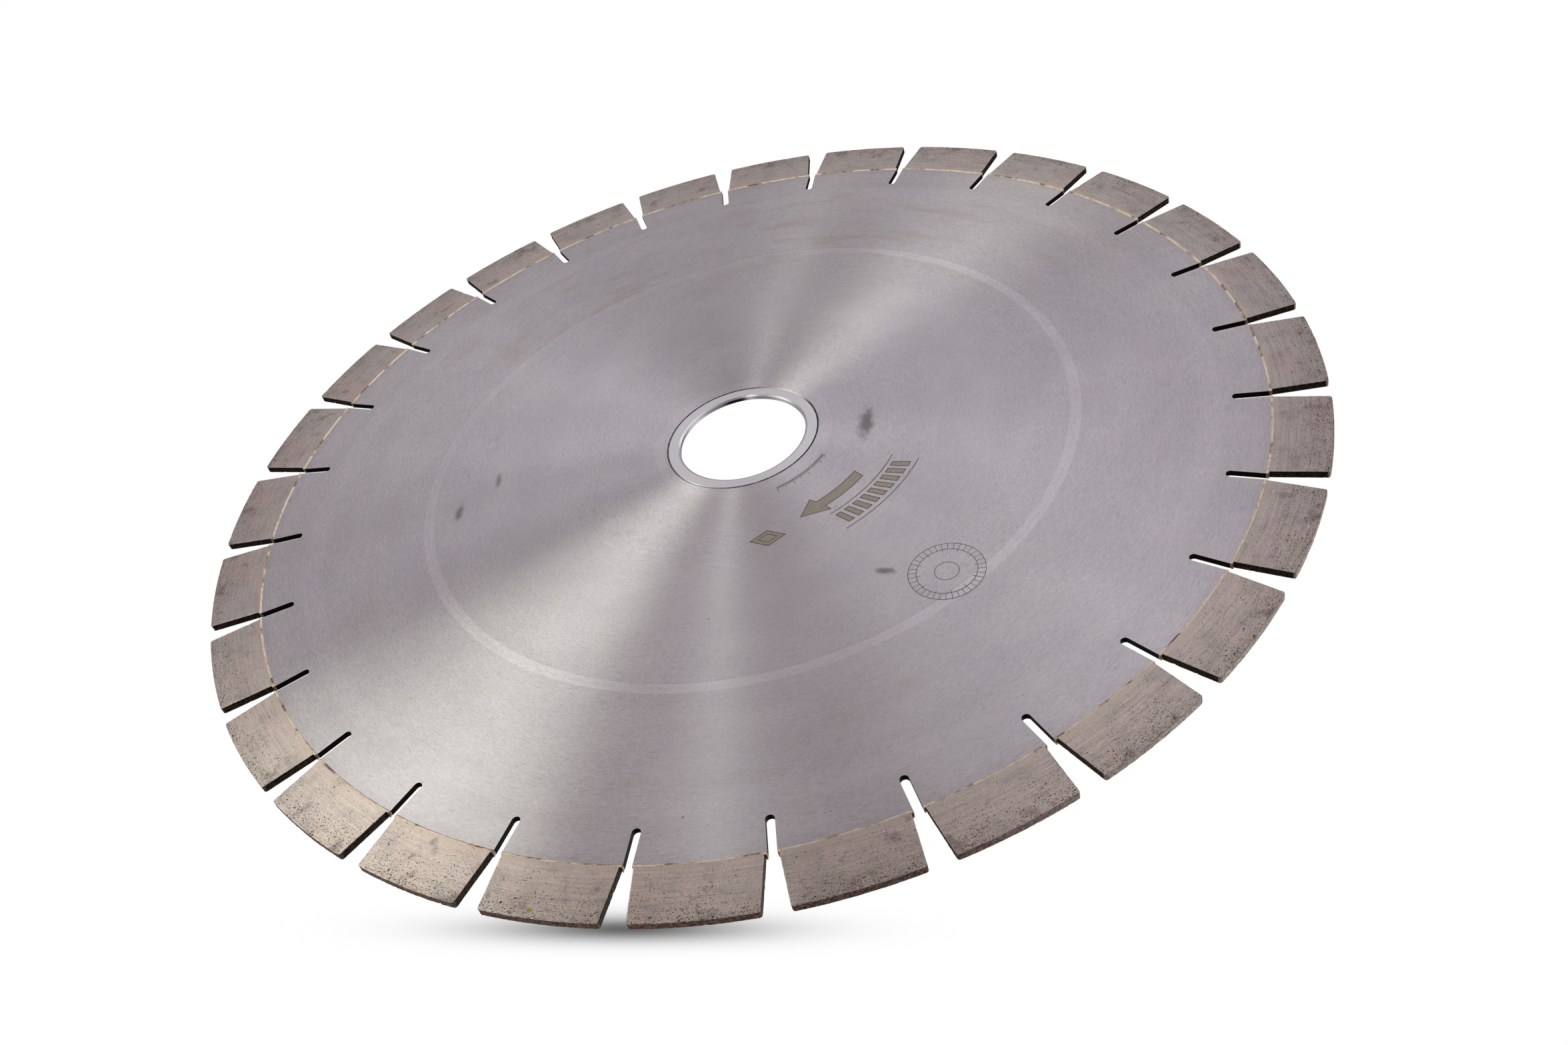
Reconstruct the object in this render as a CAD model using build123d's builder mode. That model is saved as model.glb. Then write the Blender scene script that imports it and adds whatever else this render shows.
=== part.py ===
from build123d import *

import math
import os

# ---------------------------------------------------------------------------
# Segmented diamond saw blade, in millimetres.
# The blade's axis is Y. The marked front face looks towards -Y, Z is up, and
# the origin is the centre of the bore at half the core's thickness.
# Angles are counted anticlockwise as seen from the front, from +X.
# ---------------------------------------------------------------------------

# Rim
blade_diameter = 430.0
segment_count = 28
first_slot_angle = 90.0            # one cooling slot points straight up

# Steel core
core_diameter = 390.0
core_thickness = 2.2
slot_width = 3.0
slot_end_radius = 182.1            # deepest point of each slot, from the axis
seat_diameter = 60.0               # round seat that takes the reducer bush
seat_edge_break = 0.4

# Rolled tensioning ring, a very shallow track on both faces of the core
track_inner_radius = 125.4
track_outer_radius = 129.6
track_depth = 0.03

# Diamond segments
segment_thickness = 2.8
segment_length = 39.5
segment_inner_radius = 195.4
segment_corner_radius = 0.8

# Braze joint between the core's land and the segment
braze_half_angle = 5.88
braze_outer_width = 2.62

# Reducer bush
bush_fit_clearance = 0.02          # radial, a light push fit
bush_bore_diameter = 50.0
bush_lead_in_width = 0.8           # shallow lead-in at both ends of the bore
bush_lead_in_depth = 0.35
bush_outer_chamfer = 0.3
bush_width = 2.2

# Derived sizes
blade_radius = blade_diameter / 2
core_radius = core_diameter / 2
seat_radius = seat_diameter / 2
bush_outer_radius = seat_radius - bush_fit_clearance
bush_bore_radius = bush_bore_diameter / 2
pitch_angle = 360.0 / segment_count
slot_run = 2 * (core_radius + 4.0 - slot_end_radius)

os.makedirs("parts", exist_ok=True)


# --- Steel core -------------------------------------------------------------
# A flat disc with the bush seat in the middle and radial cooling slots that
# open at the rim and end in a half round.
with BuildPart() as steel_core:
    with BuildSketch(Plane.XZ.offset(-core_thickness / 2)):
        Circle(core_radius)
        Circle(seat_radius, mode=Mode.SUBTRACT)
        with PolarLocations(slot_end_radius + slot_run / 2, segment_count,
                            start_angle=first_slot_angle):
            SlotOverall(slot_run, slot_width, mode=Mode.SUBTRACT)
    extrude(amount=core_thickness)

    # the seat's two edges are broken so that the bush starts easily
    seat_edges = (
        steel_core.edges()
        .filter_by(GeomType.CIRCLE)
        .filter_by(lambda e: abs(e.radius - seat_radius) < 1e-3)
    )
    chamfer(seat_edges, length=seat_edge_break)

    # the rolled track on the front face, then on the back face
    with BuildSketch(Plane.XZ.offset(core_thickness / 2)):
        Circle(track_outer_radius)
        Circle(track_inner_radius, mode=Mode.SUBTRACT)
    extrude(amount=-track_depth, mode=Mode.SUBTRACT)
    with BuildSketch(Plane.XZ.offset(-core_thickness / 2)):
        Circle(track_outer_radius)
        Circle(track_inner_radius, mode=Mode.SUBTRACT)
    extrude(amount=track_depth, mode=Mode.SUBTRACT)

steel_core.part.label = "steel_core"
export_step(steel_core.part, "parts/steel_core.step")


# --- Diamond segments and their braze joints ----------------------------------
# Each land between two slots carries one braze joint and one segment. Number
# 01 is the first one clockwise from the top slot, as seen from the front.
half_length = segment_length / 2
inner_x = math.sqrt(segment_inner_radius**2 - half_length**2)
outer_x = math.sqrt(blade_radius**2 - half_length**2)

for index in range(segment_count):
    land_angle = first_slot_angle - (index + 0.5) * pitch_angle
    land_direction = (math.cos(math.radians(land_angle)), 0,
                      math.sin(math.radians(land_angle)))
    land_plane = Plane(origin=(0, 0, 0), x_dir=land_direction, z_dir=(0, -1, 0))

    # the segment: straight parallel ends, inner face to the core's curve,
    # outer face to the cutting circle, outer corners slightly rounded
    with BuildPart() as diamond_segment:
        with BuildSketch(land_plane.offset(-segment_thickness / 2)):
            with BuildLine():
                ThreePointArc((inner_x, -half_length), (segment_inner_radius, 0),
                              (inner_x, half_length))
                Line((inner_x, half_length), (outer_x, half_length))
                ThreePointArc((outer_x, half_length), (blade_radius, 0),
                              (outer_x, -half_length))
                Line((outer_x, -half_length), (inner_x, -half_length))
            face = make_face()
            fillet(face.vertices().sort_by(Axis.X)[-2:], radius=segment_corner_radius)
        extrude(amount=segment_thickness)

    segment_name = f"diamond_segment_{index + 1:02d}"
    diamond_segment.part.label = segment_name
    export_step(diamond_segment.part, f"parts/{segment_name}.step")

    # the braze joint: as wide as the core on the land and a little wider on
    # the segment, where the filler has run out on to the segment's foot
    start = math.radians(land_angle - braze_half_angle)
    section_plane = Plane(
        origin=(0, 0, 0),
        x_dir=(math.cos(start), 0, math.sin(start)),
        z_dir=(math.sin(start), 0, -math.cos(start)),
    )
    with BuildPart() as braze_joint:
        with BuildSketch(section_plane):
            with BuildLine():
                Polyline(
                    (core_radius, -core_thickness / 2),
                    (segment_inner_radius, -braze_outer_width / 2),
                    (segment_inner_radius, braze_outer_width / 2),
                    (core_radius, core_thickness / 2),
                    close=True,
                )
            make_face()
        revolve(axis=Axis((0, 0, 0), (0, -1, 0)), revolution_arc=2 * braze_half_angle)

    braze_name = f"braze_joint_{index + 1:02d}"
    braze_joint.part.label = braze_name
    export_step(braze_joint.part, f"parts/{braze_name}.step")


# --- Reducer bush -------------------------------------------------------------
# A plain ring as wide as the core is thick, turned from one section. Its bore
# has a wide, shallow lead-in at both ends and its rim a small chamfer. It
# slides in the core's seat along the blade's axis.
bush_half_width = bush_width / 2
with BuildPart() as reducer_bush:
    with BuildSketch(Plane.XY):
        with BuildLine():
            Polyline(
                (bush_bore_radius, -bush_half_width + bush_lead_in_depth),
                (bush_bore_radius + bush_lead_in_width, -bush_half_width),
                (bush_outer_radius - bush_outer_chamfer, -bush_half_width),
                (bush_outer_radius, -bush_half_width + bush_outer_chamfer),
                (bush_outer_radius, bush_half_width - bush_outer_chamfer),
                (bush_outer_radius - bush_outer_chamfer, bush_half_width),
                (bush_bore_radius + bush_lead_in_width, bush_half_width),
                (bush_bore_radius, bush_half_width - bush_lead_in_depth),
                close=True,
            )
        make_face()
    revolve(axis=Axis.Y)

reducer_bush.part.label = "reducer_bush"
export_step(reducer_bush.part, "parts/reducer_bush.step")
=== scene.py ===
import math
import random

import bmesh
import bpy
import numpy as np
from mathutils import Matrix, Vector, noise


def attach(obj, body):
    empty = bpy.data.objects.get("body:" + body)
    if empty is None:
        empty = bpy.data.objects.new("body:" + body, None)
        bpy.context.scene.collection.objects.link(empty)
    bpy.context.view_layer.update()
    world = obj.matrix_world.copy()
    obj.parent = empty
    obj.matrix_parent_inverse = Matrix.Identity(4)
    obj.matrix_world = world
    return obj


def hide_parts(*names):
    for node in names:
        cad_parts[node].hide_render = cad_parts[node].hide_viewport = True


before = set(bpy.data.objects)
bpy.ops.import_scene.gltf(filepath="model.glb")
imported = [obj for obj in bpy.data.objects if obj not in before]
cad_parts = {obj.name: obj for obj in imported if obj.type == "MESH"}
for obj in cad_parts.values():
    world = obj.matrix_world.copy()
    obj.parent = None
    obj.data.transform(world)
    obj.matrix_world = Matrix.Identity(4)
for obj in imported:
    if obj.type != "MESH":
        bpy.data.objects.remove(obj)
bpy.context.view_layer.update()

MM = 0.001

# The sizes of the blade that the looks are drawn to, in millimetres. They are
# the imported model's own.
PITCH = 360.0 / 28
FIRST_SLOT = 90.0
CORE_R = 195.0
CORE_HALF = 1.1
SEG_IN = 195.4
SEG_OUT = 215.0
SEG_HALF_LENGTH = 19.75
SEG_HALF = 1.4
SEAT_R = 30.0
BORE_R = 25.0


# ---------------------------------------------------------------------------
# Small helpers for node trees
# ---------------------------------------------------------------------------
class Tree:
    """Builds a material's nodes with short calls. A value is a socket or a constant."""

    def __init__(self, name):
        self.mat = bpy.data.materials.new(name)
        self.mat.use_nodes = True
        self.t = self.mat.node_tree
        self.t.nodes.clear()
        self.out = self.t.nodes.new("ShaderNodeOutputMaterial")
        self.bsdf = self.t.nodes.new("ShaderNodeBsdfPrincipled")
        self.t.links.new(self.bsdf.outputs[0], self.out.inputs["Surface"])
        coord = self.t.nodes.new("ShaderNodeTexCoord")
        self.pos = coord.outputs["Object"]
        self.nor = coord.outputs["Normal"]

    def put(self, socket, value):
        if isinstance(value, bpy.types.NodeSocket):
            self.t.links.new(value, socket)
        elif isinstance(value, (tuple, list)) and len(value) == 3 and socket.type == "RGBA":
            socket.default_value = (*value, 1.0)
        else:
            socket.default_value = value

    def math(self, op, a, b=None, c=None, clamp=False):
        n = self.t.nodes.new("ShaderNodeMath")
        n.operation, n.use_clamp = op, clamp
        for i, v in enumerate((a, b, c)):
            if v is not None:
                self.put(n.inputs[i], v)
        return n.outputs[0]

    def add(self, a, b):
        return self.math("ADD", a, b)

    def sub(self, a, b):
        return self.math("SUBTRACT", a, b)

    def mul(self, a, b):
        return self.math("MULTIPLY", a, b)

    def vec(self, op, a, b=None, scale=None):
        n = self.t.nodes.new("ShaderNodeVectorMath")
        n.operation = op
        self.put(n.inputs[0], a)
        if b is not None:
            self.put(n.inputs[1], b)
        if scale is not None:
            self.put(n.inputs["Scale"], scale)
        return n.outputs["Value"] if op in ("LENGTH", "DISTANCE", "DOT_PRODUCT") else n.outputs["Vector"]

    def split(self, v):
        n = self.t.nodes.new("ShaderNodeSeparateXYZ")
        self.put(n.inputs[0], v)
        return n.outputs

    def join(self, x, y, z):
        n = self.t.nodes.new("ShaderNodeCombineXYZ")
        for i, v in enumerate((x, y, z)):
            self.put(n.inputs[i], v)
        return n.outputs[0]

    def noise(self, v, scale=1.0, detail=2.0, rough=0.5, distortion=0.0):
        n = self.t.nodes.new("ShaderNodeTexNoise")
        n.noise_dimensions = "3D"
        self.put(n.inputs["Vector"], v)
        n.inputs["Scale"].default_value = scale
        n.inputs["Detail"].default_value = detail
        n.inputs["Roughness"].default_value = rough
        n.inputs["Distortion"].default_value = distortion
        return n.outputs["Fac"]

    def warp(self, v, scale, amount):
        """v moved about by smooth noise, so that a regular pattern looks natural."""
        n = self.t.nodes.new("ShaderNodeTexNoise")
        self.put(n.inputs["Vector"], v)
        n.inputs["Scale"].default_value = scale
        n.inputs["Detail"].default_value = 2.0
        off = self.vec("SUBTRACT", n.outputs["Color"], (0.5, 0.5, 0.5))
        return self.vec("ADD", v, self.vec("SCALE", off, scale=amount))

    def voronoi(self, v, scale=1.0, randomness=1.0, feature="F1"):
        n = self.t.nodes.new("ShaderNodeTexVoronoi")
        n.voronoi_dimensions = "3D"
        n.feature = feature
        self.put(n.inputs["Vector"], v)
        n.inputs["Scale"].default_value = scale
        n.inputs["Randomness"].default_value = randomness
        return n.outputs["Distance"], n.outputs["Color"]

    def span(self, v, a, b, lo=0.0, hi=1.0, smooth=True):
        n = self.t.nodes.new("ShaderNodeMapRange")
        n.interpolation_type = "SMOOTHSTEP" if smooth else "LINEAR"
        n.clamp = True
        self.put(n.inputs["Value"], v)
        n.inputs["From Min"].default_value = a
        n.inputs["From Max"].default_value = b
        n.inputs["To Min"].default_value = lo
        n.inputs["To Max"].default_value = hi
        return n.outputs["Result"]

    def band(self, v, a, b, soft):
        """1 between a and b, falling to 0 over soft on each side."""
        return self.mul(self.span(v, a - soft, a + soft), self.span(v, b - soft, b + soft, 1.0, 0.0))

    def mix(self, fac, a, b, blend="MIX"):
        n = self.t.nodes.new("ShaderNodeMix")
        n.data_type = "RGBA"
        n.blend_type = blend
        n.clamp_factor = True
        self.put(n.inputs[0], fac)
        self.put(n.inputs[6], a)
        self.put(n.inputs[7], b)
        return n.outputs[2]

    def bump(self, height, distance, strength=1.0, normal=None):
        n = self.t.nodes.new("ShaderNodeBump")
        self.put(n.inputs["Height"], height)
        n.inputs["Distance"].default_value = distance
        n.inputs["Strength"].default_value = strength
        if normal is not None:
            self.put(n.inputs["Normal"], normal)
        return n.outputs["Normal"]

    def polar(self):
        """Radius in metres and the unit direction from the blade's axis."""
        x, y, z = self.split(self.pos)[:3]
        flat = self.join(x, 0.0, z)
        self.x, self.y, self.z = x, y, z
        self.flat = flat
        self.r = self.vec("LENGTH", flat)
        self.dir = self.vec("NORMALIZE", flat)
        d = self.split(self.dir)
        self.dx, self.dz = d[0], d[2]
        return self

    def streak(self, along, across, detail=2.0, rough=0.5, seed=0.0):
        """Noise drawn out along circles round the blade's axis. along and across are
        features per turn-radian and per metre."""
        v = self.join(
            self.mul(self.dx, along),
            self.add(self.mul(self.r, across), self.math("MULTIPLY_ADD", self.y, 4000.0, seed)),
            self.mul(self.dz, along),
        )
        return self.noise(v, 1.0, detail, rough)

    def wrap(self, along, across, seed=0.0):
        """Coordinates that follow the circles round the axis: along in features per
        turn-radian, across in features per metre outward and through the thickness."""
        return self.join(
            self.mul(self.dx, along),
            self.add(self.mul(self.r, across), self.math("MULTIPLY_ADD", self.y, across, seed)),
            self.mul(self.dz, along),
        )

    def set(self, **values):
        for k, v in values.items():
            self.put(self.bsdf.inputs[k.replace("_", " ")], v)


def srgb(r, g, b):
    def lin(c):
        c /= 255.0
        return c / 12.92 if c <= 0.04045 else ((c + 0.055) / 1.055) ** 2.4

    return (lin(r), lin(g), lin(b))


def fleck(m, x, z, length, width, seed):
    """A tiny ragged spot of dried paint in the plane of the disc, on the front only."""
    d = m.vec("LENGTH", m.join(m.mul(m.sub(m.x, x * MM), 1.0 / (length * MM)), m.mul(m.sub(m.z, z * MM), 1.0 / (width * MM)), 0.0))
    grain = m.noise(m.join(m.mul(m.x, 1.0), seed, m.mul(m.z, 1.0)), 1800.0, 2.0, 0.6)
    front = m.span(m.y, 0.0, -0.0005)
    return m.mul(front, m.span(m.sub(d, m.mul(m.sub(grain, 0.5), 2.0)), 1.0, 0.7))


def smudge(m, x, z, angle, length, width, seed):
    """A soft-edged stain, longer along one direction, in the plane of the disc."""
    a = math.radians(angle)
    u = m.add(m.mul(m.sub(m.x, x * MM), math.cos(a)), m.mul(m.sub(m.z, z * MM), math.sin(a)))
    v = m.sub(m.mul(m.sub(m.z, z * MM), math.cos(a)), m.mul(m.sub(m.x, x * MM), math.sin(a)))
    d = m.vec("LENGTH", m.join(m.mul(u, 1.0 / (length * MM)), m.mul(v, 1.0 / (width * MM)), 0.0))
    grain = m.noise(m.join(m.mul(m.x, 900.0), seed, m.mul(m.z, 900.0)), 0.35, 4.0, 0.65)
    front = m.span(m.y, 0.0, -0.0005)
    return m.mul(front, m.span(m.sub(d, m.mul(m.sub(grain, 0.5), 1.6)), 1.0, 0.1))


# ---------------------------------------------------------------------------
# Materials
# ---------------------------------------------------------------------------
def core_steel(name="brushed_core_steel"):
    m = Tree(name).polar()
    outer_part = m.span(m.r, 0.060, 0.115)

    def grain(inner, outer, across, detail, rough, seed):
        """Turned grain whose strokes stay about as long in the middle as at the rim."""
        return m.math(
            "ADD",
            m.mul(m.streak(inner, across, detail, rough, seed), m.sub(1.0, outer_part)),
            m.mul(m.streak(outer, across, detail, rough, seed + 3.0), outer_part),
        )

    fine = grain(46.0, 125.0, 3600.0, 2.0, 0.62, 0.0)
    medium = grain(16.0, 44.0, 1250.0, 2.0, 0.55, 7.0)
    grit = m.noise(m.pos, 2300.0, 1.0, 0.5)
    broad = m.streak(3.0, 60.0, 2.0, 0.5, 19.0)
    patch = m.noise(m.pos, 38.0, 3.0, 0.55)
    hair = grain(26.0, 66.0, 4300.0, 0.0, 0.5, 31.0)
    bright_hair = m.span(hair, 0.68, 0.80)
    dark_hair = m.span(grain(20.0, 52.0, 3700.0, 0.0, 0.5, 47.0), 0.32, 0.20)

    level = m.add(
        m.add(m.mul(m.sub(fine, 0.5), 0.66), m.mul(m.sub(medium, 0.5), 0.30)),
        m.add(m.mul(m.sub(broad, 0.5), 0.15), m.mul(m.sub(patch, 0.5), 0.13)),
    )
    level = m.add(level, m.mul(m.sub(grit, 0.5), 0.22))
    track = m.band(m.r, 0.1254, 0.1296, 0.00025)
    track_line = m.band(m.r, 0.1274, 0.1278, 0.0003)
    rim_band = m.band(m.r, 0.171, 0.1785, 0.0012)
    rim_dark = m.span(m.r, 0.190, 0.1945)
    near_seat = m.band(m.r, 0.0295, 0.0355, 0.001)
    # painted shade: the rolled track is a little brighter all round, but that is cut back towards the upper left
    painted_track_shade_side = m.span(m.sub(m.mul(m.dz, 0.8), m.mul(m.dx, 0.6)), 0.1, 0.9)
    level = m.add(level, m.mul(track, m.sub(0.15, m.mul(painted_track_shade_side, 0.09))))
    # painted light: the face is painted up to a tenth brighter towards the bottom, most of it inside 100 mm
    painted_low_light = m.mul(m.span(m.dz, -0.60, -0.97), m.span(m.r, 0.20, 0.10, 0.45, 1.0))
    level = m.add(level, m.mul(painted_low_light, 0.10))
    # painted light: a little brighter at the very top and bottom of the face
    level = m.add(level, m.mul(m.span(m.math("ABSOLUTE", m.dz), 0.93, 0.99), 0.06))
    level = m.add(level, m.mul(track_line, -0.05))
    level = m.add(level, m.mul(rim_band, 0.04))
    level = m.add(level, m.mul(rim_dark, -0.06))
    level = m.add(level, m.mul(near_seat, 0.06))
    level = m.add(level, m.mul(bright_hair, 0.14))
    level = m.add(level, m.mul(dark_hair, -0.22))
    level = m.math("MAXIMUM", m.add(level, 1.0), 0.3)

    base = m.mix(m.span(patch, 0.35, 0.65), (0.540, 0.520, 0.540), (0.552, 0.530, 0.542))
    colour = m.vec("SCALE", base, scale=level)

    # faint warm stains that follow the circles, strongest in the upper half
    warm_noise = m.streak(4.5, 130.0, 3.0, 0.6, 63.0)
    upper = m.span(m.dz, 0.25, 0.85)
    warm_reach = m.band(m.r, 0.120, 0.182, 0.008)
    warm = m.mul(m.mul(m.span(warm_noise, 0.52, 0.68), warm_reach), m.add(m.mul(upper, 0.36), 0.12))
    colour = m.mix(warm, colour, (0.47, 0.405, 0.37))

    # dark smudges left by handling
    marks = None
    for x, z, ang, ln, wd, seed in (
        (-115.0, -8.0, 84.0, 7.5, 2.4, 3.0),
        (-100.0, 6.5, 88.0, 6.5, 1.9, 11.0),
        (48.0, -9.0, 78.0, 13.0, 4.2, 23.0),
        (46.0, -91.0, -28.0, 5.0, 2.2, 29.0),
    ):
        s = smudge(m, x, z, ang, ln, wd, seed)
        marks = s if marks is None else m.math("MAXIMUM", marks, s)
    colour = m.mix(m.mul(marks, 0.48), colour, (0.16, 0.145, 0.155))
    paint = m.math("MAXIMUM", fleck(m, -16.2, -95.8, 0.55, 0.40, 3.0), fleck(m, -26.4, -176.8, 0.62, 0.55, 8.0))

    # tiny pits
    dots, _ = m.voronoi(m.pos, 95.0)
    pit = m.span(dots, 0.030, 0.016)
    colour = m.mix(m.mul(pit, 0.75), colour, (0.10, 0.09, 0.09))

    # the sawn walls of the slots are dark: partly their own dark cut finish, partly painted shade deep in the narrow
    # slots; so is the seat
    face = m.span(m.math("ABSOLUTE", m.split(m.nor)[1]), 0.55, 0.8)
    seat_edge = m.mul(m.span(m.r, 0.0310, 0.0305), m.band(m.math("ABSOLUTE", m.split(m.nor)[1]), 0.5, 0.9, 0.05))
    face = m.math("MAXIMUM", face, seat_edge)
    # painted highlight: the seat's broken edge is painted bright on the upper right, where it catches the light;
    # elsewhere it has the dark seam colour
    painted_seat_glint = m.span(m.vec("DOT_PRODUCT", m.dir, (0.643, 0.0, 0.766)), 0.88, 0.96)
    seam_noise = m.noise(m.pos, 900.0, 2.0, 0.6)
    seam = m.mix(m.span(seam_noise, 0.35, 0.60), (0.060, 0.047, 0.045), (0.210, 0.185, 0.185))
    colour = m.mix(seat_edge, colour, m.mix(painted_seat_glint, seam, (0.66, 0.65, 0.67)))
    wall_grain = m.noise(m.join(m.mul(m.x, 1.0), m.mul(m.y, 6.0), m.mul(m.z, 1.0)), 900.0, 3.0, 0.6)
    wall = m.mix(m.span(wall_grain, 0.4, 0.7), (0.004, 0.003, 0.003), (0.022, 0.014, 0.010))
    colour = m.mix(face, wall, colour)

    rough = m.add(m.mul(m.sub(medium, 0.5), 0.10), 0.395)
    rough = m.add(rough, m.mul(m.sub(fine, 0.5), 0.08))
    rough = m.add(rough, m.mul(marks, 0.15))
    rough = m.mix(face, (0.75, 0.75, 0.75), m.join(rough, rough, rough))
    bump = m.bump(m.add(m.mul(fine, 0.6), m.mul(medium, 0.5)), 0.00003, 0.35)
    colour = m.mix(paint, colour, (0.33, 0.29, 0.07))
    m.set(Base_Color=colour, Roughness=rough, Normal=bump, Tangent=m.dir, Metallic=m.sub(1.0, paint))
    m.bsdf.inputs["Anisotropic"].default_value = 1.0
    return m.mat


def segment_matrix(name="diamond_matrix"):
    m = Tree(name).polar()
    lines = m.streak(16.0, 3300.0, 2.0, 0.6)
    wide = m.streak(7.0, 900.0, 2.0, 0.55, 9.0)
    blotch = m.noise(m.pos, 110.0, 4.0, 0.6)
    tint = m.noise(m.vec("ADD", m.pos, (0.3, 0.1, 0.7)), 48.0, 2.0, 0.5)
    outward = m.span(m.r, 0.1965, 0.2145, 0.0, 1.0, False)

    low_side = m.span(m.dz, 0.1, -0.8)
    base = m.mix(m.span(tint, 0.42, 0.62), (0.462, 0.430, 0.404), (0.480, 0.412, 0.381))
    base = m.mix(m.mul(low_side, 0.75), base, (0.510, 0.437, 0.388))
    base = m.mix(m.span(blotch, 0.45, 0.72, 0.0, 0.7), base, (0.365, 0.335, 0.305))
    grit = m.noise(m.pos, 1700.0, 2.0, 0.6)
    level = m.add(m.mul(m.sub(lines, 0.5), 0.84), m.mul(m.sub(wide, 0.5), 0.42))
    level = m.add(level, m.mul(m.sub(grit, 0.5), 0.55))
    level = m.add(level, m.mul(outward, -0.10))
    # painted light and shade: the segments are painted darker on the right and lighter on the left
    level = m.add(level, m.mul(m.span(m.dx, 0.2, 0.9), -0.08))
    level = m.add(level, m.mul(m.span(m.dx, 0.6, -0.1), 0.05))
    level = m.math("MAXIMUM", m.add(level, 1.10), 0.35)
    colour = m.vec("SCALE", base, scale=level)

    pale = m.mul(m.span(m.r, 0.1990, 0.1958), m.span(tint, 0.40, 0.58, 0.15, 0.75))
    colour = m.mix(pale, colour, (0.560, 0.475, 0.410))

    # darker scabs of worn matrix, most of them in the outer half
    scab_noise = m.noise(m.vec("ADD", m.pos, (0.9, 0.4, 0.2)), 85.0, 5.0, 0.68)
    scab = m.span(m.add(scab_noise, m.mul(outward, 0.07)), 0.60, 0.72)
    colour = m.mix(m.mul(scab, 0.60), colour, (0.185, 0.150, 0.128))

    # open pits: ragged, drawn out along the grinding, crowded towards the cutting edge
    crowd = m.noise(m.pos, 170.0, 3.0, 0.6)
    density = m.add(m.math("POWER", outward, 1.6), m.mul(m.sub(crowd, 0.5), 2.2))
    pits = None
    for along, across, seed, start, gain in (
        (300.0, 2300.0, 0.0, 0.298, 0.085),
        (520.0, 3500.0, 60.0, 0.288, 0.080),
    ):
        raw = m.noise(m.warp(m.wrap(along, across, seed), 0.7, 0.9), 1.0, 1.0, 0.5)
        limit = m.math("MINIMUM", m.add(start, m.mul(density, gain)), start + 0.13)
        spot = m.span(m.sub(limit, raw), 0.0, 0.035)
        pits = spot if pits is None else m.math("MAXIMUM", pits, spot)
    colour = m.mix(m.mul(pits, 0.84), colour, (0.055, 0.042, 0.036))

    # flakes of brighter metal, most of them near the cutting edge
    d2, c2 = m.voronoi(m.wrap(150.0, 1500.0, 17.0))
    flake = m.mul(m.span(d2, 0.22, 0.10), m.math("GREATER_THAN", m.add(m.split(c2)[1], m.mul(outward, 0.10)), 0.93))
    colour = m.mix(m.mul(flake, 0.75), colour, (0.72, 0.70, 0.66))

    # a few copper-red smears along the grinding direction
    smear = m.streak(9.0, 170.0, 3.0, 0.65, 33.0)
    copper = m.mul(m.span(smear, 0.66, 0.76), m.span(tint, 0.35, 0.6))
    colour = m.mix(m.mul(copper, 0.5), colour, (0.36, 0.22, 0.17))

    # ends and cutting face: rough, dark and brown
    face = m.span(m.math("ABSOLUTE", m.split(m.nor)[1]), 0.45, 0.85)
    rough_grain = m.noise(m.pos, 1100.0, 4.0, 0.7)
    outer = m.span(m.r, 0.2138, 0.2146)
    wall = m.mix(m.span(rough_grain, 0.35, 0.72), (0.014, 0.009, 0.007), (0.110, 0.076, 0.058))
    outer_wall = m.mix(m.span(rough_grain, 0.35, 0.72), (0.110, 0.075, 0.060), (0.460, 0.345, 0.285))
    # painted light: the cutting faces towards the right are painted pale where the light falls on them
    painted_lit_outer_wall = m.mix(m.span(rough_grain, 0.35, 0.65), (0.480, 0.420, 0.370), (0.920, 0.870, 0.810))
    outer_wall = m.mix(m.mul(m.span(m.dx, 0.15, 0.60), 0.85), outer_wall, painted_lit_outer_wall)
    wall = m.mix(outer, wall, outer_wall)
    colour = m.mix(face, wall, colour)
    # painted highlight: a ragged lighter line along the rounded edges, where they catch the light
    tilt = m.math("ABSOLUTE", m.split(m.nor)[1])
    painted_edge_highlight = m.mul(m.band(tilt, 0.35, 0.90, 0.08), m.span(rough_grain, 0.42, 0.60))
    colour = m.mix(m.mul(painted_edge_highlight, 0.75), colour, (0.50, 0.45, 0.41))

    paint = fleck(m, -72.8, -199.4, 0.9, 1.0, 5.0)
    colour = m.mix(paint, colour, (0.34, 0.34, 0.09))
    rough = m.add(m.mul(m.sub(lines, 0.5), 0.16), 0.43)
    rough = m.math("MINIMUM", m.add(rough, m.mul(pits, 0.4)), 0.95)
    rough = m.mix(face, (0.80, 0.80, 0.80), m.join(rough, rough, rough))
    height = m.add(m.mul(lines, 0.35), m.mul(pits, -1.0))
    height = m.add(height, m.mul(rough_grain, m.span(face, 0.0, 1.0, 1.6, 0.12)))
    bump = m.bump(height, 0.00008, 0.5)
    m.set(Base_Color=colour, Roughness=rough, Normal=bump, Tangent=m.dir)
    m.bsdf.inputs["Metallic"].default_value = 0.95
    m.bsdf.inputs["Anisotropic"].default_value = 0.9
    return m.mat


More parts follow.
